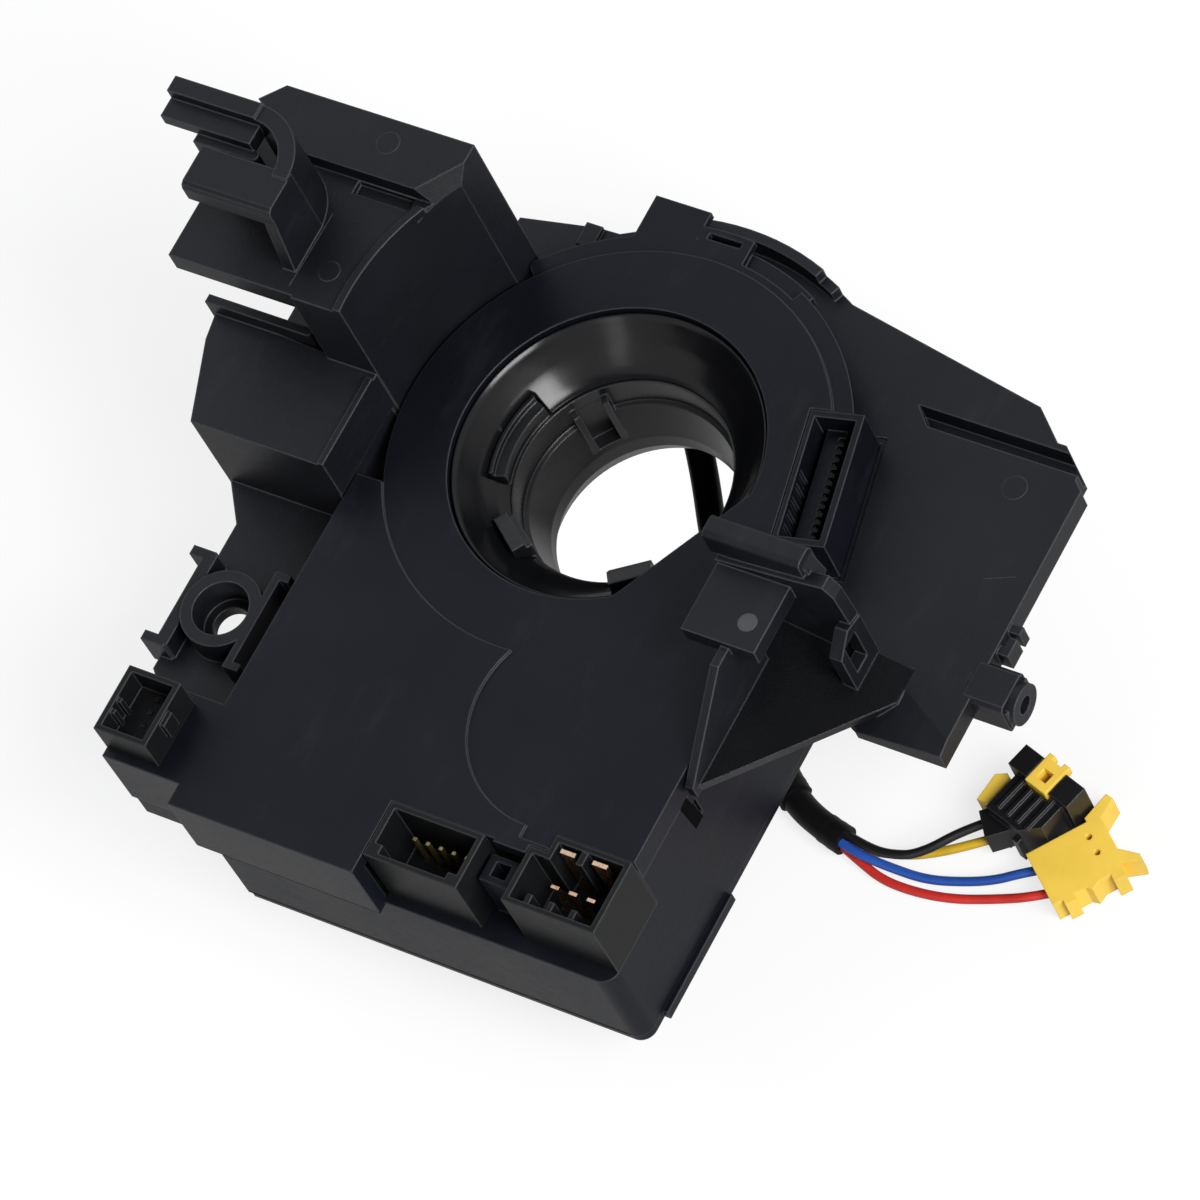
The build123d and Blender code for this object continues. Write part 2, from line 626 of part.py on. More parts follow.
def make_sensor_block():
    """Forked light sensor that reaches over the rim of the code disc."""
    frame = on_axis(0, 0, -90)
    fork = frame * block(disc_radius - 3.4, disc_radius + 3.4, -5.0, 5.0, cassette_top, -3.2)
    fork -= frame * block(disc_radius - 4, disc_radius + 0.6, -6, 6, disc_z - 0.7,
                          disc_z + disc_thickness + 0.7)
    return fork


def unit_clearance(z0, z1):
    """Space that the carrier leaves for the unit, seen from above."""
    g = carrier_gap
    room = disc(cassette_radius + g, z0, z1)
    room += sector(inner_wall_radius, 125, 320, z0, z1)
    room += block(case_left - g, case_right + g, -110, -5, z0, z1)
    return room


def upright(points, x0, x1):
    """A plate across X on a closed outline of (y, height) points."""
    face = make_face(Polyline(*points, close=True))
    return Pos(x0, 0, 0) * extrude(Plane.YZ * face, x1 - x0)


def facing(points, y0, y1):
    """A plate across Y on a closed outline of (x, height) points."""
    face = make_face(Polyline(*points, close=True))
    return Pos(0, y1, 0) * extrude(Plane.XZ * face, y1 - y0)


def make_base():
    """Base plate with the left flange, the right plate, its skirt and the arc wall."""
    base_low = base_top - base_thickness
    outline = [(-60.3, -59.0), (-60.3, -30.0), (-65.3, -23.3), (-71.6, -8.0), (-72.0, 26.5),
               (tower_left, tower_back), (-42.6, tower_back), (-42.0, 39.2), (-27.7, 41.8),
               (20.0, 43.0), (61.7, 35.5), (plate_right, 23.5), (plate_right, plate_front),
               (58.9, plate_front), (41.0, -20.0), (-30, -30), (case_left, side_back + 0.8),
               (-56, side_back + 0.8)]
    frame = prism(outline, base_low, base_top)
    frame += disc(carrier_wall_radius, base_low, base_top) & block(-22, 60, 20, 60, -60, 60)
    # Arc wall behind the ring, its end sloping down to the plate.
    ring_wall = disc(carrier_wall_radius, carrier_wall_bottom, -5.0)
    ring_wall -= disc(carrier_wall_radius - carrier_wall, -60, 10)
    frame += ring_wall & sector(60, 70, 102, -60, 10)
    frame += ring_wall & sector(60, 66, 71, -60, -7.2)
    lower_wall = disc(carrier_wall_radius, carrier_wall_bottom, base_top)
    lower_wall -= disc(carrier_wall_radius - carrier_wall, -60, 10)
    frame += lower_wall & sector(60, 60, 122, -60, 10)
    frame += facing([(-29.6, base_low), (-26.4, base_low), (-26.4, -8.6), (-29.6, -8.6)], 37.5, 41.8)
    # Skirt along the free edges of the right plate.
    for ends in (((20.0, 43.0), (61.7, 35.5)), ((61.7, 35.5), (plate_right, 23.5)),
                 ((plate_right, 23.5), (plate_right, plate_front)),
                 ((plate_right, plate_front), (58.9, plate_front))):
        (x0, y0), (x1, y1) = ends
        angle = math.degrees(math.atan2(y1 - y0, x1 - x0))
        edge = block(0, math.dist(*ends), -1.8, 0, skirt_bottom, base_top)
        frame += on_axis(x0, y0, angle) * edge
    # The front corner falls away from a ridge.
    ridge_x, ridge_y, ridge_turn = 52.3, -12.3, -28.2
    frame += prism([(50.0, -14.0), (plate_right - 1, -25.2), (plate_right - 1, plate_front + 1),
                    (59.6, plate_front + 1)], base_low - 2.6, base_top)
    fall = Pos(ridge_x, ridge_y, base_top) * Rot(0, 0, ridge_turn) * Rot(14, 0, 0)
    frame -= fall * block(-10, 40, -40, 0, 0, 8)
    # Slot with a floor, open at the slanted corner.
    slot = [(41.8, 29.2), (90, 29.2), (90, 26.0), (45.2, 26.0)]
    tray = [(40.4, 30.4), (69.2, 30.4), (73.6, 26.6), (73.6, 24.8), (44.6, 24.8)]
    frame += prism(tray, base_low - 2.6, base_top)
    frame -= prism(slot, base_low - 1.4, base_top + 1)
    return frame


def make_tower():
    """High part, lower shelf with its rim, and the curved wall along the ring."""
    base_low = base_top - base_thickness
    plan = [(-71.9, 26.5), (tower_left, tower_back), (tower_right, tower_back),
            (tower_right, 0), (-49, tower_front), (-49, 8), (-58, tower_step)]
    tower = prism(plan, base_low, tower_top)
    tower += prism([(-49, tower_front), (-36, tower_front), (-30, 10), (-49, 20)], base_low, shelf_top)
    tower -= block(-80, 0, tower_front - 5, tower_step, shelf_top, tower_top + 1)
    tower -= disc(inner_wall_radius, -60, 60)
    # Sloping end of the high part, groove at its foot, rim along the shelf's curved edge.
    tower -= Pos(-34.3, 22.7, tower_top) * Rot(0, 0, 51.6) * Rot(58, 0, 0) * block(-6, 5, -12, 0, 0, 9)
    tower -= block(-57, -37.5, tower_step - 2.6, tower_step - 0.2, shelf_top - 1.2, 60)
    rim = disc(inner_wall_radius + 1.4, shelf_top - 1, shelf_top + 0.8)
    rim -= disc(inner_wall_radius, -60, 60)
    return tower + (rim & block(-60, -30, tower_front, 18.0, -60, 60))


def make_side_stand():
    """Plate left of the tower with the hood, the curved wall and the stepped bar."""
    low = shelf_top - 4.2
    stand = block(-73.7, -48.8, tower_front + 0.4, 14.0, low, shelf_top)
    stand += block(-70.0, -48.8, 13.0, 22.0, low, shelf_top)
    hood = [(9.8, low), (9.8, 45.6), (2.9, 45.6), (2.2, 45.2), (1.9, 44.4), (1.9, 41.2), (2.4, 40.0),
            (3.4, 39.3), (8.0, 39.2), (8.0, low)]
    stand += upright(hood, -68.2, -50.6)
    stand += upright([(9.8, low), (9.8, 45.0), (2.3, 45.0), (0.4, shelf_top), (0.4, low)], -53.0, -50.6)
    # Wall that curves from the hood back to the bar.
    bend = sector(11.4, 0, 90, low, 46.0) - disc(8.4, -60, 60)
    stand += Pos(-62.0, 8.4, 0) * bend
    stand += block(-79.2, -61.8, 16.8, 19.8, 42.2, 46.5)
    stand += block(-79.2, -61.4, 13.1, 17.0, 41.9, 44.3)
    stand += block(-72.5, -61.0, 11.4, 13.3, low, 42.2)
    stand += disc(0.95, low, 42.2, -61.0, 12.35)
    stand += block(-72.5, -62.0, 13.0, 17.2, 40.4, 42.0)
    return stand


def make_screw_eye():
    """Left flange: the eye for the screw, its ribs and tabs."""
    base_low = base_top - base_thickness
    eye = disc(eye_radius, base_low, eye_top, eye_x, eye_y)
    eye += block(-45.6, -44.2, -56.5, -37.5, base_low, eye_top)
    eye += block(-45.6, -42.6, -38.9, -37.5, base_low, eye_top)
    eye += block(-45.6, -42.6, -56.5, -55.1, base_low, eye_top)
    for y in (-38.5, -55.5):
        eye += block(-62.6, -58.0, y - 0.9, y + 0.9, base_low, eye_top - 1)
    eye += block(-60.0, -57.6, -56.0, -38.0, base_low, eye_top - 1)
    return eye


def make_bracket():
    """Clip bracket over the ring's right side: head, wall, shelf, loop, rib and sloping web."""
    wall = [(34.5, 1.0), (34.5, 12.6), (50.0, 14.6), (55.6, 15.6), (57.0, 13.0), (57.6, 3.0),
            (50.4, -9.6), (50.4, -11.0), (39.6, -11.0), (39.6, 1.0)]
    bracket = facing(wall, -17.0, -14.4)
    head = block(33.2, 51.4, -16.0, -11.8, 12.2, 18.6)
    head = fillet(head.edges().filter_by(Axis.X), 1.2)
    bracket += head
    bracket += facing([(50.0, 12.0), (52.9, 12.0), (51.2, 17.6), (50.0, 18.2)], -15.2, -12.2)
    bracket += block(34.8, 48.6, -29.8, -16.6, 8.6, 12.0)
    # Loop with a window at the wall's lower corner.
    loop = upright([(-14.6, -11.0), (-14.6, 4.4), (-18.4, 5.4), (-22.4, 2.0), (-22.4, -11.0)], 55.6, 58.0)
    loop -= block(50.0, 62.0, -20.6, -17.2, -4.6, 3.2)
    bracket += loop
    # Rib from the shelf down to the case's side.
    bracket += upright([(-29.0, 10.6), (-33.4, 10.6), (-49.8, -1.9), (-49.8, -4.6), (-24.0, -4.6),
                        (-24.0, 10.6)], 41.9, 43.5)
    # Web that slopes down from the rib to the plate's corner.
    fall = math.radians(17.5)
    web_plane = Plane(origin=(41.9, 0, -2.4), x_dir=(math.cos(fall), 0, -math.sin(fall)),
                      z_dir=(math.sin(fall), 0, math.cos(fall)))
    web = make_face(Polyline((0, -49.6), (1.0, -49.6), (23.6, -21.4), (23.6, -15.0), (0, -15.0),
                             close=True))
    return bracket + extrude(web_plane * web, -2.2)


def make_carrier_frame():
    """The outer frame: one moulding with base, tower, left box, screw eye, bracket and boss."""
    base_low = base_top - base_thickness
    frame = make_base() + make_tower() + make_side_stand()
    hollow = prism([(-67, 26), (-66, tower_back - shell), (tower_right - shell, tower_back - shell),
                    (tower_right - shell, 0), (-47, tower_front + shell), (-47, 8), (-56, 18)],
                   -60, shelf_top - shell)
    frame -= hollow - disc(inner_wall_radius + inner_wall, -60, 60)
    # Left box, open below, with a ledge behind its top and a rim along its right edge.
    box_plan = [(-66.0, -22.8), (case_left - 0.1, -22.8), (case_left - 0.1, -4.0), (-72.6, -2.4),
                (-71.6, -8.0)]
    inner_plan = [(-63.4, -20.8), (case_left - 2.1, -20.8), (case_left - 2.1, -6.0), (-69.4, -4.6),
                  (-69.2, -8.6)]
    frame += prism(box_plan, base_low - 3, box_top)
    frame -= prism(inner_plan, -60, box_top - shell)
    frame += block(-73.4, -53.0, -3.0, -1.4, base_low, box_top + 3.2)
    frame += disc(0.8, base_low, box_top + 3.2, -53.0, -2.2)
    frame += block(case_left - 1.3, case_left - 0.1, -22.8, -5.4, box_top - 1, box_top + 0.6)
    frame += make_screw_eye()
    frame -= disc(eye_hole, -60, 10, eye_x, eye_y)
    frame -= disc(eye_counterbore, base_low + eye_floor, 10, eye_x, eye_y)
    frame -= block(-44.0, case_left - 1.2, -54.0, -40.0, -60, eye_top + 1)
    frame += make_bracket()
    # Boss with a bore along X, its flats, and two hooks.
    length = boss_x - plate_right + 2
    boss = Pos(boss_x - length / 2, boss_y, boss_z) * Rot(0, 90, 0) * Cylinder(boss_radius, length)
    boss += block(plate_right - 1, boss_x - 1.0, boss_y - boss_radius, boss_y + boss_radius,
                  boss_z - 2.2, boss_z + 2.2)
    frame += boss
    frame -= Pos(boss_x, boss_y, boss_z) * Rot(0, 90, 0) * Cylinder(boss_hole, 2 * boss_depth)
    frame += block(plate_right - 1, plate_right + 2.2, -7.6, -6.0, skirt_bottom, base_top - 0.6)
    frame += block(plate_right + 0.8, plate_right + 2.2, -7.6, -4.2, skirt_bottom, base_top - 0.6)
    frame += block(plate_right - 1, plate_right + 2.2, -3.4, -1.8, skirt_bottom, base_top - 0.6)
    # Room for the unit and the comb.
    frame -= unit_clearance(-60, 0.4)
    return frame - comb_block(1.0, -60, 1)


save("back_cover", make_back_cover())
save("unit_case", make_unit_case())
save("front_cover", make_front_cover())
save("cover_screws", make_cover_screws())
save("circuit_board", make_circuit_board())
save("board_chips", make_board_chips())
save("left_header", make_left_header())
save("left_header_pins", contacts(left_pins, board_top, 2.1))
save("middle_header", make_middle_header())
save("middle_header_pins", contacts(middle_pins, board_top, -4.5))
save("right_header", make_right_header())
save("right_header_pins", contacts(right_pins, board_top, -4.5))
save("power_blades", contacts(right_blades, board_top, -0.6))
save("comb_connector", make_comb_connector())
save("comb_contacts", make_comb_contacts())
save("cassette_housing", make_cassette_housing())
save("ribbon_coil", make_ribbon_coil())
save("ribbon_terminal", make_ribbon_terminal())
save("sensor_block", make_sensor_block())
save("rotor_collar", make_rotor_collar())
save("code_disc", make_code_disc())
save("rotor_hub", make_rotor_hub())
save("cable_gland", make_cable_gland())
save("cable_sleeve", tube(sleeve_route, sleeve_diameter, "cable_sleeve"))
save("wire_yellow", tube(yellow_route, wire_diameter, "wire_yellow"))
save("wire_black", tube(black_route, wire_diameter, "wire_black"))
save("wire_blue", tube(blue_route, wire_diameter, "wire_blue"))
save("wire_red", tube(red_route, wire_diameter, "wire_red"))
save("airbag_plug", make_airbag_plug())
save("plug_lock", make_plug_lock())
save("plug_clip", make_plug_clip())
save("horn_plug", make_horn_plug())
save("carrier_frame", make_carrier_frame())
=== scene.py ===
import json
import math

import bmesh
import bpy
from mathutils import Matrix, Vector


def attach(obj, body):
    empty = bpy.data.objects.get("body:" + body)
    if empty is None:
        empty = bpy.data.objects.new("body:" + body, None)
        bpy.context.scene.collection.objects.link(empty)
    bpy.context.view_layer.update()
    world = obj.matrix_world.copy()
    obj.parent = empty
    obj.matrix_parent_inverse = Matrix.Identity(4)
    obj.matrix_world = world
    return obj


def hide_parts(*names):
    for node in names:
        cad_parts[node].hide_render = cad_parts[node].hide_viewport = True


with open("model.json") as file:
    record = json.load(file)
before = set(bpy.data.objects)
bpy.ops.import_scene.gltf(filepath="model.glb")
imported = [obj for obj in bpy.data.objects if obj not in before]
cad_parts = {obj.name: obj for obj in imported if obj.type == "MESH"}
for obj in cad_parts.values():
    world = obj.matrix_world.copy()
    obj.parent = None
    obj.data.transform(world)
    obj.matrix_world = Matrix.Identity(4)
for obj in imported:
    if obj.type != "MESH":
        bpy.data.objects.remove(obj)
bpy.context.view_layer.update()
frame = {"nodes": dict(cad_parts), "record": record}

# Heights are written in millimetres from the column side's face, which lies LIFT above the frame's zero.
MM = 0.001
LIFT = 26.35
FLOOR_Z = -23.65 * MM


def placed(name, data):
    """An object of the scene, made from its data."""
    thing = bpy.data.objects.new(name, data)
    bpy.context.scene.collection.objects.link(thing)
    return thing


# Camera

CAMERA_PLACE = (0.6104, -0.4383, 1.10155)
CAMERA_RIGHT = (0.8386, 0.4620, -0.2886)
CAMERA_UP = (-0.2909, 0.8278, 0.4798)
CAMERA_BACK = (0.4605, -0.3184, 0.8286)
CAMERA_LENS = 240.0
CAMERA_SENSOR = 36.0
CAMERA_REACH = 10.0


def place_camera():
    """The photograph's long lens, looking down on the column side."""
    data = bpy.data.cameras.new("photo_camera")
    data.lens = CAMERA_LENS
    data.sensor_width = CAMERA_SENSOR
    data.clip_end = CAMERA_REACH
    camera = placed("photo_camera", data)
    turn = Matrix((CAMERA_RIGHT, CAMERA_UP, CAMERA_BACK)).transposed().to_4x4()
    camera.matrix_world = Matrix.Translation(CAMERA_PLACE) @ turn
    bpy.context.scene.camera = camera


place_camera()


# Shader writing

# A Mix node's sockets for colours.
COLOUR_LOW, COLOUR_HIGH, COLOUR_OUT = 6, 7, 2
EDGE_SAMPLES = 4


class Value:
    """A shader socket that takes part in Python arithmetic."""

    def __init__(self, finish, socket):
        self.finish = finish
        self.socket = socket

    def calc(self, operation, first, second):
        return self.finish.add("Math", {"operation": operation}, {0: first, 1: second})

    def __add__(self, other):
        return self.calc("ADD", self, other)

    __radd__ = __add__

    def __mul__(self, other):
        return self.calc("MULTIPLY", self, other)

    __rmul__ = __mul__

    def __sub__(self, other):
        return self.calc("SUBTRACT", self, other)

    def __rsub__(self, other):
        return self.calc("SUBTRACT", other, self)

    def clamp(self):
        return self.finish.add("Clamp", None, {"Value": self})

    def span(self, low, high):
        """Maps a range of values onto 0 to 1 and clamps it."""
        return self.finish.add("MapRange", None, {"Value": self, "From Min": low, "From Max": high})


class Finish:
    """A procedural material on one Principled shader."""

    def __init__(self, name, **constants):
        self.material = bpy.data.materials.new(name)
        self.material.use_nodes = True
        self.tree = self.material.node_tree
        self.shader = self.tree.nodes["Principled BSDF"]
        for key, value in constants.items():
            self.wire(key.replace("_", " "), value)
        self.place = self.add("TexCoord", output="Object")

    def add(self, kind, settings=None, inputs=None, output=0):
        """Makes a node, sets it up, then fills its sockets with values or links."""
        node = self.tree.nodes.new("ShaderNode" + kind)
        for key, value in (settings or {}).items():
            setattr(node, key, value)
        for key, value in (inputs or {}).items():
            self.feed(node.inputs[key], value)
        return Value(self, node.outputs[output])

    def feed(self, socket, value):
        if isinstance(value, Value):
            self.tree.links.new(value.socket, socket)
        else:
            socket.default_value = value

    def wire(self, name, value):
        self.feed(self.shader.inputs[name], value)

    def noise(self, scale, detail=2.0, roughness=0.5, stretch=None):
        """Noise in the object's own metres: scale counts bumps to the metre."""
        where = self.place
        if stretch:
            where = self.add("Mapping", None, {"Vector": self.place, "Scale": stretch})
        return self.add("TexNoise", None, {"Vector": where, "Scale": scale, "Detail": detail,
                                           "Roughness": roughness})

    def mix(self, factor, low, high):
        """Blends two colours."""
        return self.add("Mix", {"data_type": "RGBA"},
                        {0: factor, COLOUR_LOW: low, COLOUR_HIGH: high}, COLOUR_OUT)

    def edges(self, radius):
        """The normal rounded over the edges, and how far it leaves the flat one."""
        soft = self.add("Bevel", {"samples": EDGE_SAMPLES}, {"Radius": radius})
        flat = self.add("NewGeometry", output="Normal")
        return soft, 1.0 - self.agreement(soft, flat)

    def agreement(self, first, second):
        """The dot product of two directions."""
        return self.add("VectorMath", {"operation": "DOT_PRODUCT"}, {0: first, 1: second}, "Value")

    def relief(self, height, strength, depth, soft=None):
        """Bumps of a height pattern, over the rounded normal where there is one."""
        inputs = {"Strength": strength, "Distance": depth, "Height": height}
        if soft is not None:
            inputs["Normal"] = soft
        self.wire("Normal", self.add("Bump", None, inputs))


def rgba(colour):
    return (*colour, 1.0)


def grey(tone):
    return (tone, tone, tone, 1.0)


def shade(colour, share, lift=0.0):
    """A darker or paler relative of a colour."""
    return rgba([min(1.0, part * share + lift) for part in colour])


# Finishes

BLACK = (0.0048, 0.0055, 0.0090)
CARRIER = (0.0056, 0.0061, 0.0088)
ROTOR = (0.0060, 0.0063, 0.0074)
POLISHED = (0.0038, 0.0040, 0.0048)
SOCKET = (0.007, 0.0074, 0.0082)
YELLOW = (0.95, 0.64, 0.085)
DUST = (0.055, 0.056, 0.060)
WORN_AND_HIGHLIT_EDGE = (0.085, 0.087, 0.094)
LACQUER = (0.02, 0.09, 0.04)
TRACKS = (0.03, 0.13, 0.06)

# Faces along the bracket's sloping web get a painted shade, darker than the level faces, and a lower
# roughness.
WEB_SLOPE = (0.30, 0.0, 0.954)
WEB_MATCH = (0.978, 0.994)
WEB_PAINTED_SHADE = (0.0028, 0.0030, 0.0034)


def moulded_plastic(name, colour, roughness=0.42, grain=0.25, edge_wear_and_highlight=0.5, rounding=0.45, specular=0.28,
                    web_painted_shade=False):
    """Black moulded plastic: spark-eroded grain, cloudy tone, scuffs, and pale edges that are partly wear and
    partly a painted highlight; the web option adds a painted shade.
    """
    made = Finish(name, Specular_IOR_Level=specular)
    soft, edge = made.edges(rounding * MM)
    cloud = made.noise(scale=38.0, detail=4.0, roughness=0.6)
    speck = made.noise(scale=900.0, detail=3.0, roughness=0.6)
    scuff = made.noise(scale=120.0, detail=6.0, roughness=0.7, stretch=(1.0, 0.30, 1.0)).span(0.56, 0.72)
    dust = made.noise(scale=2300.0, detail=1.0).span(0.76, 0.80)
    tone = made.mix(cloud.span(0.3, 0.7), shade(colour, 0.75), shade(colour, 1.35))
    tone = made.mix((scuff * 0.10 + dust * 0.12).clamp(), tone, rgba(DUST))
    # Pale edges: partly wear, partly a painted highlight where the edges catch light.
    tone = made.mix(edge.span(0.010, 0.16) * edge_wear_and_highlight, tone, rgba(WORN_AND_HIGHLIT_EDGE))
    rough = roughness + (cloud - 0.5) * 0.16 + (speck - 0.5) * 0.12
    # Painted shade: faces that lie along the sloping web are darkened, and made smoother.
    if web_painted_shade:
        web_facing = made.agreement(made.add("NewGeometry", output="Normal"), WEB_SLOPE).span(*WEB_MATCH)
        tone = made.mix(web_facing * 0.7, tone, rgba(WEB_PAINTED_SHADE))
        rough = rough - web_facing * 0.18
    made.wire("Base Color", tone)
    made.wire("Roughness", rough.clamp())
    made.relief(made.noise(scale=2600.0, roughness=0.55), grain, 0.12 * MM, soft)
    return made.material


def polished_plastic(name, colour, roughness, rounding=0.35):
    """Polished moulding with fine ripples, smears, and a painted highlight along its edges."""
    made = Finish(name, Specular_IOR_Level=0.38)
    soft, edge = made.edges(rounding * MM)
    smear = made.noise(scale=70.0, detail=5.0, roughness=0.65)
    # Painted highlight: edges are paler than the face.
    tone = made.mix(edge.span(0.02, 0.3) * 0.5, rgba(colour), shade(colour, 3, 0.015))
    made.wire("Base Color", made.mix(smear.span(0.45, 0.75) * 0.4, tone, shade(colour, 1.6)))
    made.wire("Roughness", (roughness + smear.span(0.4, 0.8) * 0.12).clamp())
    made.relief(made.noise(scale=1200.0), 0.06, 0.1 * MM, soft)
    return made.material


def plated_metal(name, colour, roughness=0.28):
    """Plated contact metal with drawing marks."""
    made = Finish(name, Metallic=1.0)
    marks = made.noise(scale=2200.0, detail=3.0, roughness=0.6, stretch=(1.0, 1.0, 0.08))
    made.wire("Base Color", made.mix(marks.span(0.35, 0.7), rgba(colour), shade(colour, 0.7)))
    made.wire("Roughness", (roughness + (marks - 0.5) * 0.3).clamp())
    soft, _edge = made.edges(0.12 * MM)
    made.relief(marks, 0.12, 0.05 * MM, soft)
    return made.material


def wire_jacket(name, colour, roughness=0.34, specular=0.45):
    """Extruded wire insulation: slightly uneven tone and a waxy gloss."""
    made = Finish(name, Specular_IOR_Level=specular)
    cloud = made.noise(scale=240.0, detail=4.0, roughness=0.6)
    made.wire("Base Color", made.mix(cloud.span(0.35, 0.7), rgba(colour), shade(colour, 0.82)))
    made.wire("Roughness", (roughness + (cloud - 0.5) * 0.2).clamp())
    made.relief(made.noise(scale=1800.0), 0.10, 0.1 * MM)
    return made.material


def coloured_plastic(name, colour, roughness=0.38):
    """Bright plug moulding with a painted highlight along its edges."""
    made = Finish(name, Specular_IOR_Level=0.5)
    soft, edge = made.edges(0.3 * MM)
    cloud = made.noise(scale=90.0, detail=4.0, roughness=0.6)
    tone = made.mix(cloud.span(0.35, 0.7), rgba(colour), shade(colour, 0.86))
    # Painted highlight: edges are paler than the face.
    made.wire("Base Color", made.mix(edge.span(0.03, 0.35) * 0.35, tone, shade(colour, 1.15, 0.04)))
    made.wire("Roughness", (roughness + (cloud - 0.5) * 0.15).clamp())
    made.relief(made.noise(scale=2000.0), 0.12, 0.1 * MM, soft)
    return made.material


def board_lacquer(name):
    """Solder resist over copper tracks."""
    made = Finish(name)
    tracks = made.add("TexBrick", None, {"Vector": made.place, "Scale": 180.0}, "Fac")
    made.wire("Base Color", made.mix(tracks, rgba(LACQUER), rgba(TRACKS)))
    made.wire("Roughness", 0.3 + made.noise(scale=300.0) * 0.1)
    return made.material


finishes = {
    "housing_black": moulded_plastic("housing plastic", BLACK, roughness=0.37, grain=0.12, edge_wear_and_highlight=0.80,
                                     specular=0.175),
    "carrier_black": moulded_plastic("carrier plastic", CARRIER, roughness=0.44, grain=0.30, edge_wear_and_highlight=0.90,
                                     specular=0.29, web_painted_shade=True),
    "gloss_black": polished_plastic("polished plastic", POLISHED, roughness=0.17),
    "rotor_black": moulded_plastic("rotor plastic", ROTOR, roughness=0.30, grain=0.06, specular=0.5),
    "contact_metal": plated_metal("plated contacts", (0.93, 0.62, 0.42)),
    "board_green": board_lacquer("circuit board lacquer"),
    "chip_black": moulded_plastic("chip plastic", (0.008, 0.008, 0.009), roughness=0.5),
    "screw_steel": plated_metal("zinc plated steel", (0.55, 0.55, 0.57), roughness=0.38),
    "ribbon_film": wire_jacket("ribbon film", (0.42, 0.22, 0.06)),
    "sleeve_black": wire_jacket("sleeve", (0.006, 0.006, 0.0065), roughness=0.40, specular=0.16),
    "wire_yellow": wire_jacket("yellow insulation", (0.66, 0.42, 0.02)),
    "wire_black": wire_jacket("black insulation", (0.010, 0.010, 0.011)),
    "wire_blue": wire_jacket("blue insulation", (0.018, 0.085, 0.40)),
    "wire_red": wire_jacket("red insulation", (0.62, 0.030, 0.022)),
    "plug_black": moulded_plastic("plug plastic", (0.007, 0.007, 0.008), roughness=0.38, grain=0.10,
                                  edge_wear_and_highlight=0.8, rounding=0.3, specular=0.4),
    "plug_yellow": coloured_plastic("yellow plug plastic", YELLOW),
}

socket_plastic = moulded_plastic("socket plastic", SOCKET, grain=0.12, edge_wear_and_highlight=0.8, specular=0.16)
node_finishes = {
    "unit_case": moulded_plastic("case plastic", BLACK, roughness=0.40, grain=0.12, edge_wear_and_highlight=0.70, specular=0.16),
    "left_header": socket_plastic,
    "middle_header": socket_plastic,
    "right_header": socket_plastic,
    # Painted shade: the left header's pins and the comb's contacts get dark copies of the contact metal, as
    # they sit in the shade of their sockets.
    "left_header_pins": plated_metal("shaded pin contacts", (0.05, 0.04, 0.03), roughness=0.5),
    "middle_header_pins": plated_metal("gold contacts", (0.50, 0.40, 0.16), roughness=0.45),
    "comb_contacts": plated_metal("shaded comb contacts", (0.06, 0.05, 0.045), roughness=0.45),
}

# A near-black finish for painted shade at the seams and in the wall's slot.
painted_seam_shade = Finish("painted seam shade", Roughness=0.8, Specular_IOR_Level=0.02,
                    Base_Color=rgba((0.0035, 0.0035, 0.004))).material
pale_mark_plastic = moulded_plastic("pale mark plastic", (0.050, 0.051, 0.055), grain=0.12, edge_wear_and_highlight=0.4)

for part in frame["record"]["subparts"]:
    materials = frame["nodes"][part["node"]].data.materials
    materials.clear()
    materials.append(node_finishes.get(part["node"], finishes[part["material_slot"]]))


# Mesh making

SHARP_ANGLE = math.radians(32)


def metres(place):
    """From millimetres, with heights from the column side's face, to the frame's metres."""
    across, along, height = place
    return (across * MM, along * MM, (height + LIFT) * MM)


def at_angle(across, along, degrees):
    """A place in plan, turned about the middle of the bore."""
    angle = math.radians(degrees)
    return (across * math.cos(angle) - along * math.sin(angle),
            across * math.sin(angle) + along * math.cos(angle))


def piece_from(name, form, slot, body):
    """Closes a bmesh into a piece with soft shading, and sets its finish and its body."""
    bmesh.ops.recalc_face_normals(form, faces=form.faces)
    data = bpy.data.meshes.new(name)
    form.to_mesh(data)
    form.free()
    for face in data.polygons:
        face.use_smooth = True
    data.set_sharp_from_angle(angle=SHARP_ANGLE)
    piece = placed(name, data)
    if slot:
        data.materials.append(finishes[slot])
        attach(piece, body)
    return piece


def join_rings(form, ring, following):
    """A band of faces between two rings that have equally many vertices."""
    for step in range(len(ring)):
        beside = (step + 1) % len(ring)
        form.faces.new((ring[step], ring[beside], following[beside], following[step]))


def lid_ends(form, first, last):
    """Closes the two ends of a form."""
    form.faces.new(first)
    form.faces.new(list(reversed(last)))


def turned(name, section, slot, body, steps, centre=(0.0, 0.0), closed=True):
    """A ring turned about a vertical line from its section as (radius, height), or a lidded disc."""
    form = bmesh.new()
    rings = []
    for radius, height in section:
        turns = [at_angle(radius, 0.0, 360 * step / steps) for step in range(steps)]
        rings.append([form.verts.new(metres((centre[0] + x, centre[1] + y, height))) for x, y in turns])
    for ring, following in zip(rings, rings[1:]):
        join_rings(form, ring, following)
    if closed:
        join_rings(form, rings[-1], rings[0])
    else:
        lid_ends(form, rings[0], rings[-1])
    return piece_from(name, form, slot, body)


def prism(name, foot, head, slot):
    """A closed prism of the housing between two like outlines, or a bare cutter without a slot."""
    form = bmesh.new()
    foot = [form.verts.new(metres(place)) for place in foot]
    head = [form.verts.new(metres(place)) for place in head]
    lid_ends(form, foot, head)
    join_rings(form, foot, head)
    return piece_from(name, form, slot, "housing")


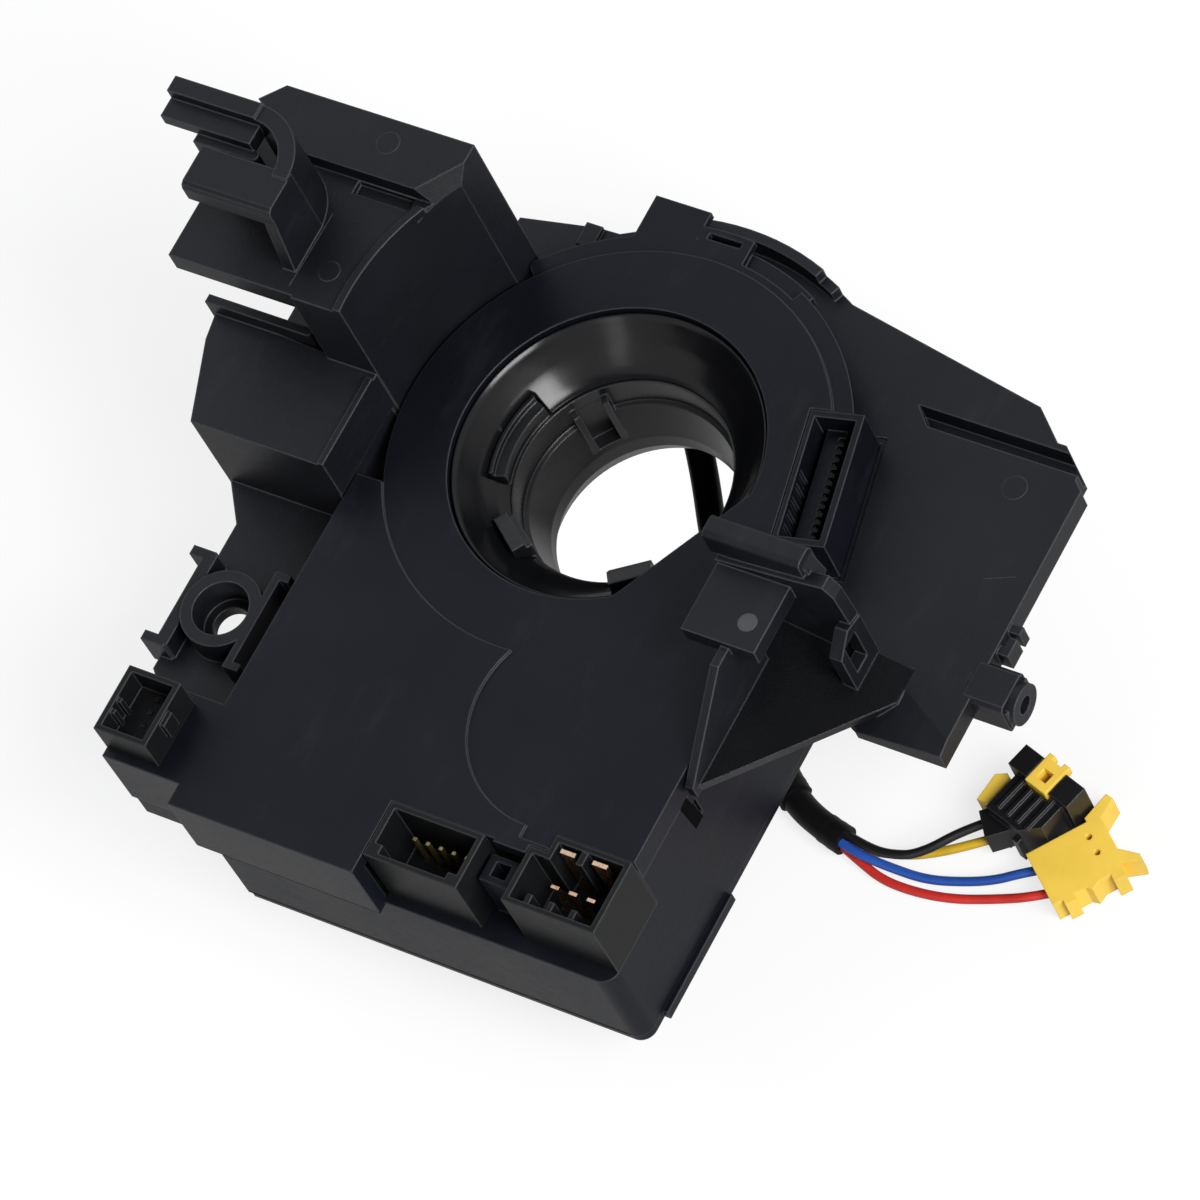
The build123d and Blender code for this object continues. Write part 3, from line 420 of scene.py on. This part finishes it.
def upright_prism(name, outline, low, high, slot=None):
    """A prism on a plan outline, from one height to another."""
    return prism(name, [(x, y, low) for x, y in outline], [(x, y, high) for x, y in outline], slot)


def across_prism(name, outline, low, high, slot):
    """A prism on an outline seen from the right, from one place across to another."""
    return prism(name, [(low, y, z) for y, z in outline], [(high, y, z) for y, z in outline], slot)


def block(name, across, along, heights, slot):
    """A box from where it starts and ends on each axis."""
    plan = [(across[0], along[0]), (across[1], along[0]), (across[1], along[1]), (across[0], along[1])]
    return upright_prism(name, plan, *heights, slot)


def carve(piece, cutters):
    """Cuts other forms out of a piece and throws them away."""
    for cutter in cutters:
        cut = piece.modifiers.new("notch", "BOOLEAN")
        cut.operation = "DIFFERENCE"
        cut.solver = "EXACT"
        cut.object = cutter
    ready = piece.evaluated_get(bpy.context.evaluated_depsgraph_get())
    carved = bpy.data.meshes.new_from_object(ready)
    piece.modifiers.clear()
    piece.data = carved
    for cutter in cutters:
        bpy.data.objects.remove(cutter)


# Funnel in the opening

# The funnel's section as (radius, height), from its rim down to its foot.
FUNNEL_STEPS = 192
FUNNEL_RIM = [(27.1, -9.6), (27.1, -1.62), (26.98, -1.46), (26.80, -1.42), (26.62, -1.54)]
FUNNEL_SLOPES = [(26.1, -2.35), (25.1, -3.80), (24.0, -5.28), (23.62, -5.80), (22.6, -6.92), (21.2, -8.36),
                 (20.15, -9.38)]
FUNNEL_FOOT = [(19.6, -9.68), (19.4, -9.80), (19.4, -10.0), (26.4, -10.0)]
NOTCH_HEIGHTS = (-12.0, 1.0)
LATCH_ANGLES = (235, 305)
LATCH_NOTCH = (17.0, 21.8)
LATCH_HALF_WIDTH = 4.2
WIDE_NOTCH_ANGLES = (158, 202)
WIDE_NOTCH_RADIUS = 22.8
WIDE_NOTCH_STEPS = 24


def add_funnel():
    """The glossy funnel: thin rim, long upper slope, crease, lower slope, and notches for the latches."""
    section = FUNNEL_RIM + FUNNEL_SLOPES + FUNNEL_FOOT
    funnel = turned("funnel", section, "gloss_black", "rotor", FUNNEL_STEPS)
    inner, outer = LATCH_NOTCH
    side = LATCH_HALF_WIDTH
    corners = [(inner, -side), (outer, -side), (outer, side), (inner, side)]
    cutters = []
    for number, angle in enumerate(LATCH_ANGLES):
        plan = [at_angle(x, y, angle) for x, y in corners]
        cutters.append(upright_prism("latch_notch_%d" % number, plan, *NOTCH_HEIGHTS))
    first, last = WIDE_NOTCH_ANGLES
    arc = [at_angle(WIDE_NOTCH_RADIUS, 0.0, first + (last - first) * step / WIDE_NOTCH_STEPS)
           for step in range(WIDE_NOTCH_STEPS + 1)]
    cutters.append(upright_prism("wide_notch", [(0.0, 0.0)] + arc, *NOTCH_HEIGHTS))
    carve(funnel, cutters)
    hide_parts("rotor_collar")


add_funnel()


# Marks of the moulding

SHELF_HEIGHT = 29.5
TOWER_HEIGHT = 32.8
PLATE_HEIGHT = -9.5
CLIP_HEIGHT = 12.0
ROOT = 0.1
MARK_RISE = 0.018
# Distances in from the mark's edge, each with its share of the rise.
MARK_PROFILE = ((0.0, 0.6), (0.06, 1.0), (0.20, 1.0), (0.27, 0.4), (0.29, 0.4))
MARK_CORE = 0.4
MARK_STEPS = 48
LINE_WIDTH = 0.22
LINE_RISE = 0.05


def add_mark(name, place, radius, rise=MARK_RISE):
    """The round mark that an ejector pin leaves: a faint rim round a level middle."""
    x, y, z = place
    rim = [(radius - inward, z + rise * share) for inward, share in MARK_PROFILE]
    section = [(radius, z - ROOT)] + rim + [(MARK_CORE, rim[-1][1])]
    return turned(name, section, "carrier_black", "housing", MARK_STEPS, (x, y), closed=False)


def add_line(name, start, end, height):
    """A fine raised line between two points of a level surface."""
    run = Vector((end[0] - start[0], end[1] - start[1]))
    side = Vector((-run.y, run.x)).normalized() * (LINE_WIDTH / 2)
    plan = [(start[0] + side.x, start[1] + side.y), (start[0] - side.x, start[1] - side.y),
            (end[0] - side.x, end[1] - side.y), (end[0] + side.x, end[1] + side.y)]
    upright_prism(name, plan, height - ROOT, height + LINE_RISE, "carrier_black")


add_mark("shelf_mark", (-45.0, 2.4, SHELF_HEIGHT), 2.0)
add_mark("tower_mark", (-45.6, 26.0, TOWER_HEIGHT), 2.2)
add_mark("plate_mark", (64.5, 20.5, PLATE_HEIGHT), 2.3)
# The clip's mark gets a paler plastic than the frame around it.
clip_mark = add_mark("clip_mark", (44.9, -25.1, CLIP_HEIGHT), 1.7, rise=0.03)
clip_mark.data.materials[0] = pale_mark_plastic
add_line("shelf_line", (-50.0, 12.4), (-50.3, -2.4), SHELF_HEIGHT)
add_line("plate_line", (67.4, 3.7), (72.4, 5.8), PLATE_HEIGHT)


# Small forms of the frame and the case

COMB_MIDDLE = (36.9, 7.4)
COMB_TURN = 12.0
COMB_HALF_SIZE = (4.86, 12.56)
COMB_LIP_WIDTH = 0.88
COMB_LIP_START = -2.0
COMB_LIP_HEIGHTS = (-12.4, -9.9)

# Where sheets of painted shade lie on the case: under the skirt, under the cover, and in the slot of the
# right wall.
SKIRT_SEAM_SHADOW = ((-39.1, -2.7), (-83.48, -81.6), (-14.8, -14.5))
COVER_SEAM_SHADOW = ((-37.3, 38.3), (-81.73, -81.5), (-33.9, -33.6))
WALL_SLOT_SHADOW = [(-52.5, -5.5), (-50.3, -5.3), (-49.3, -13.4), (-51.8, -13.5)]
WALL_SLOT_SHADOW_ACROSS = (41.2, 41.34)

CHEEK_SECTION = [(-17.1, -16.2), (-16.7, -16.6), (-9.9, -16.6), (-9.5, -16.2), (-9.5, -10.0),
                 (-10.2, -9.3), (-16.4, -9.3), (-17.1, -10.0)]
CHEEKS_ACROSS = (74.0, 81.4)


def add_comb_lip():
    """Narrow lip of the plate that closes on the comb connector's right side and end."""
    inner_x, inner_y = COMB_HALF_SIZE
    outer_x, outer_y = inner_x + COMB_LIP_WIDTH, inner_y + COMB_LIP_WIDTH
    outline = [(inner_x, -outer_y), (outer_x, -outer_y), (outer_x, outer_y), (COMB_LIP_START, outer_y),
               (COMB_LIP_START, inner_y), (inner_x, inner_y)]
    turns = [at_angle(x, y, COMB_TURN) for x, y in outline]
    plan = [(COMB_MIDDLE[0] + x, COMB_MIDDLE[1] + y) for x, y in turns]
    upright_prism("comb_lip", plan, *COMB_LIP_HEIGHTS, "carrier_black")


def add_painted_seam_shade():
    """Dark sheets of painted shade on the case's walls: lines under the skirt and the cover, and a slot."""
    seams = [block("skirt_seam_shadow", *SKIRT_SEAM_SHADOW, "housing_black"),
             block("cover_seam_shadow", *COVER_SEAM_SHADOW, "housing_black"),
             across_prism("wall_slot_shadow", WALL_SLOT_SHADOW, *WALL_SLOT_SHADOW_ACROSS, "housing_black")]
    for seam in seams:
        seam.data.materials[0] = painted_seam_shade


def add_boss_cheeks():
    """Squares off the screw boss on the plate's edge."""
    across_prism("boss_cheeks", CHEEK_SECTION, *CHEEKS_ACROSS, "carrier_black")


add_comb_lip()
add_painted_seam_shade()
add_boss_cheeks()


# Harness

SLEEVE_ROUTE = [(-12.8, 28.6, -41.7), (-10.4, 25.4, -43.6), (-6.2, 19.5, -45.9), (-0.5, 11.0, -47.2),
                (8.8, -0.8, -47.4), (19.9, -13.1, -47.4), (29.6, -23.1, -47.4), (36.7, -28.72, -47.4),
                (43.04, -31.6, -47.4), (49.0, -32.9, -47.4)]
YELLOW_ROUTE = [(49.18, -32.07, -48.25), (52.70, -32.83, -48.40), (57.40, -31.60, -49.15),
                (62.60, -29.70, -49.10), (70.31, -26.06, -46.90), (76.88, -20.83, -46.90)]
BLACK_ROUTE = [(49.18, -32.07, -46.55), (52.70, -32.83, -46.50), (57.50, -33.10, -46.20),
               (63.00, -31.60, -45.40), (68.94, -24.33, -44.80), (75.51, -19.10, -44.80)]
BLUE_ROUTE = [(48.82, -33.73, -46.55), (52.40, -34.50, -46.90), (58.20, -34.30, -48.30),
              (64.60, -33.90, -49.15), (70.90, -32.00, -49.15), (75.90, -30.10, -48.60),
              (80.05, -28.00, -47.20), (83.80, -25.70, -47.20)]
RED_ROUTE = [(48.82, -33.73, -48.25), (52.30, -34.90, -48.70), (57.40, -36.50, -49.15),
             (63.60, -36.60, -49.15), (70.20, -35.60, -49.15), (76.60, -33.50, -48.80),
             (83.80, -31.30, -47.20), (87.60, -28.68, -47.20)]
SLEEVE_DIAMETER = 5.0
WIRE_DIAMETER = 1.6
# Lengths in metres, and the plug pieces that each wire carries.
WIRES = (("yellow", YELLOW_ROUTE, 0.0311, ["airbag_plug", "plug_clip", "plug_lock"]),
         ("black", BLACK_ROUTE, 0.0317, ["airbag_plug"]),
         ("blue", BLUE_ROUTE, 0.0372, ["horn_plug"]),
         ("red", RED_ROUTE, 0.0409, ["horn_plug"]))
CORD_ROUND = 6
CORD_STEPS = 16
CORD_ORDER = 3
JACKET_STEPS = 40
JACKET_TUCK = 0.90
# Depth of each ripple in the jacket, and how fast it comes and goes along the cord.
JACKET_RIPPLES = ((0.012, 0.9), (0.010, 2.3))


def cord_curve(name, points, diameter, slot):
    """A round cord along one smooth spline, in place of its plain solid."""
    data = bpy.data.curves.new(name, "CURVE")
    data.dimensions = "3D"
    data.bevel_depth = diameter / 2 * MM
    data.bevel_resolution = CORD_ROUND
    data.resolution_u = CORD_STEPS
    data.use_fill_caps = True
    data.materials.append(finishes[slot])
    spline = data.splines.new("NURBS")
    spline.points.add(len(points) - 1)
    for point, place in zip(spline.points, points):
        point.co = (*metres(place), 1.0)
    spline.order_u = CORD_ORDER
    spline.use_endpoint_u = True
    cord = placed(name, data)
    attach(cord, "rotor")
    return cord


def line_of(cord):
    """The points along a cord's own spline."""
    bare = placed("bare_line", cord.data.copy())
    bare.data.bevel_depth = 0.0
    mesh = bpy.data.meshes.new_from_object(bare.evaluated_get(bpy.context.evaluated_depsgraph_get()))
    points = [vertex.co.copy() for vertex in mesh.vertices]
    bpy.data.objects.remove(bare)
    return points


def jacket(name, cord, start, end, side, up, down):
    """A loose jacket over a share of a cord, flatter where it lies, with its ends tucked in."""
    points = line_of(cord)
    first, last = int(start * (len(points) - 1)), int(end * (len(points) - 1))
    form = bmesh.new()
    rings = []
    for index in range(first, last + 1):
        before, after = points[max(index - 1, 0)], points[min(index + 1, len(points) - 1)]
        run = (after - before).normalized()
        across = run.cross(Vector((0.0, 0.0, 1.0))).normalized()
        above = across.cross(run).normalized()
        swell = 1.0 + sum(depth * math.sin(index * pace) for depth, pace in JACKET_RIPPLES)
        shares = [1.0]
        if index == first:
            shares = [JACKET_TUCK, 1.0]
        elif index == last:
            shares = [1.0, JACKET_TUCK]
        for share in shares:
            ring = []
            for step in range(JACKET_STEPS):
                angle = math.tau * step / JACKET_STEPS
                high = up if math.sin(angle) > 0 else down
                offset = across * (side * math.cos(angle)) + above * (high * math.sin(angle))
                ring.append(form.verts.new(points[index] + offset * (MM * swell * share)))
            rings.append(ring)
    for ring, following in zip(rings, rings[1:]):
        join_rings(form, ring, following)
    lid_ends(form, rings[0], rings[-1])
    return piece_from(name, form, "sleeve_black", "rotor")


def add_harness():
    """The sleeve out of the gland, and four wires from its end to the two plugs."""
    sleeve = cord_curve("sleeve", SLEEVE_ROUTE, SLEEVE_DIAMETER, "sleeve_black")
    outer = jacket("outer_sleeve", sleeve, start=0.56, end=0.83, side=3.05, up=2.9, down=2.45)
    tape = jacket("sleeve_tape", sleeve, start=0.955, end=1.0, side=2.62, up=2.62, down=2.48)
    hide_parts("cable_sleeve")
    metres(SLEEVE_ROUTE[0])
    for colour, route, length, carried in WIRES:
        wire = cord_curve("wire." + colour, route, WIRE_DIAMETER, "wire_" + colour)
        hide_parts("wire_" + colour)
        metres(route[0])


add_harness()


# Studio

FLOOR_REACH = 3.0
FLOOR_TONE = 0.24
FLOOR_GLOW = 0.755
# A card of painted light under the bore, which glows brighter than the floor.
CARD_RADIUS = 34.5 * MM
CARD_Z = FLOOR_Z + 0.02 * MM
CARD_STEPS = 96
CARD_GLOW = 1.0
CEILING_REACH = 2.4
CEILING_Z = 2.6
CEILING_TONE = 0.34
WORLD_LIGHT = 0.60
MIRRORED = 0.44
MIDDLE = (0, 0, 0.02)


def seen_or_mirrored(made):
    """One where the camera or a clear surface sees the material, less in a mirror-like one."""
    seen = made.add("LightPath", output="Is Camera Ray")
    glossy = made.add("LightPath", output="Is Glossy Ray")
    through = made.add("LightPath", output="Is Transmission Ray")
    return (seen + glossy * MIRRORED + through).clamp()


def studio_paper(name, tone, glow=None):
    """Matt paper. A glow shows to the camera and more dimly in mirrors, and lights nothing."""
    made = Finish(name, Roughness=0.9, Specular_IOR_Level=0.1, Base_Color=grey(tone))
    if glow is not None:
        made.wire("Emission Strength", 1.0)
        made.wire("Emission Color", made.mix(seen_or_mirrored(made), grey(0.0), grey(glow)))
    return made.material


def add_sheet(name, outline, height, paper):
    """A level sheet of the studio on an outline in metres."""
    mesh = bpy.data.meshes.new(name)
    mesh.from_pydata([(x, y, height) for x, y in outline], [], [tuple(range(len(outline)))])
    mesh.materials.append(paper)
    placed(name, mesh)


def square(reach):
    return [(-reach, -reach), (reach, -reach), (reach, reach), (-reach, reach)]


def add_floor():
    """A pale sweep that reads as white and keeps the object's shadow."""
    add_sheet("floor", square(FLOOR_REACH), FLOOR_Z, studio_paper("pale floor", FLOOR_TONE, FLOOR_GLOW))


def add_glowing_card():
    """A glowing card under the bore: painted light that makes the floor seen through the bore white where the
    object's shadow falls.
    """
    rim = [at_angle(CARD_RADIUS, 0.0, 360 * step / CARD_STEPS) for step in range(CARD_STEPS)]
    add_sheet("card", rim, CARD_Z, studio_paper("painted light card", FLOOR_TONE, CARD_GLOW))


def add_ceiling():
    """The studio's dark ceiling, which keeps the upward faces black."""
    add_sheet("ceiling", square(CEILING_REACH), CEILING_Z, studio_paper("dark ceiling", CEILING_TONE))


def add_softbox(name, place, size, power, target=MIDDLE, colour=(1.0, 1.0, 1.0)):
    """A rectangular area lamp that faces a target point."""
    data = bpy.data.lights.new(name, "AREA")
    data.shape = "RECTANGLE"
    data.size, data.size_y = size
    data.energy = power
    data.color = colour
    lamp = placed(name, data)
    lamp.location = place
    lamp.rotation_euler = (Vector(target) - Vector(place)).to_track_quat("-Z", "Y").to_euler()


def set_world():
    """White to the camera, grey as light on the object and in its mirror-like faces."""
    world = bpy.data.worlds.new("studio")
    world.use_nodes = True
    tree = world.node_tree
    seen = tree.nodes.new("ShaderNodeLightPath")
    blend = tree.nodes.new("ShaderNodeMix")
    blend.data_type = "RGBA"
    blend.inputs[COLOUR_LOW].default_value = grey(WORLD_LIGHT)
    blend.inputs[COLOUR_HIGH].default_value = grey(1.0)
    tree.links.new(seen.outputs["Is Camera Ray"], blend.inputs["Factor"])
    tree.links.new(blend.outputs[COLOUR_OUT], tree.nodes["Background"].inputs["Color"])
    bpy.context.scene.world = world


add_floor()
add_glowing_card()
add_ceiling()
add_softbox("key", (1.15, -0.25, 1.00), (0.8, 0.8), 25.0)
add_softbox("sheen", (-0.69, 0.48, 1.24), (1.0, 1.0), 2.5, colour=(0.86, 0.93, 1.0))
add_softbox("front", (0.30, -1.45, 0.55), (0.30, 0.7), 0.9, target=(0, 0, 0))
add_softbox("left", (-1.35, -0.15, 0.75), (0.7, 0.7), 4.0)
set_world()
bpy.context.scene.view_settings.view_transform = "Standard"
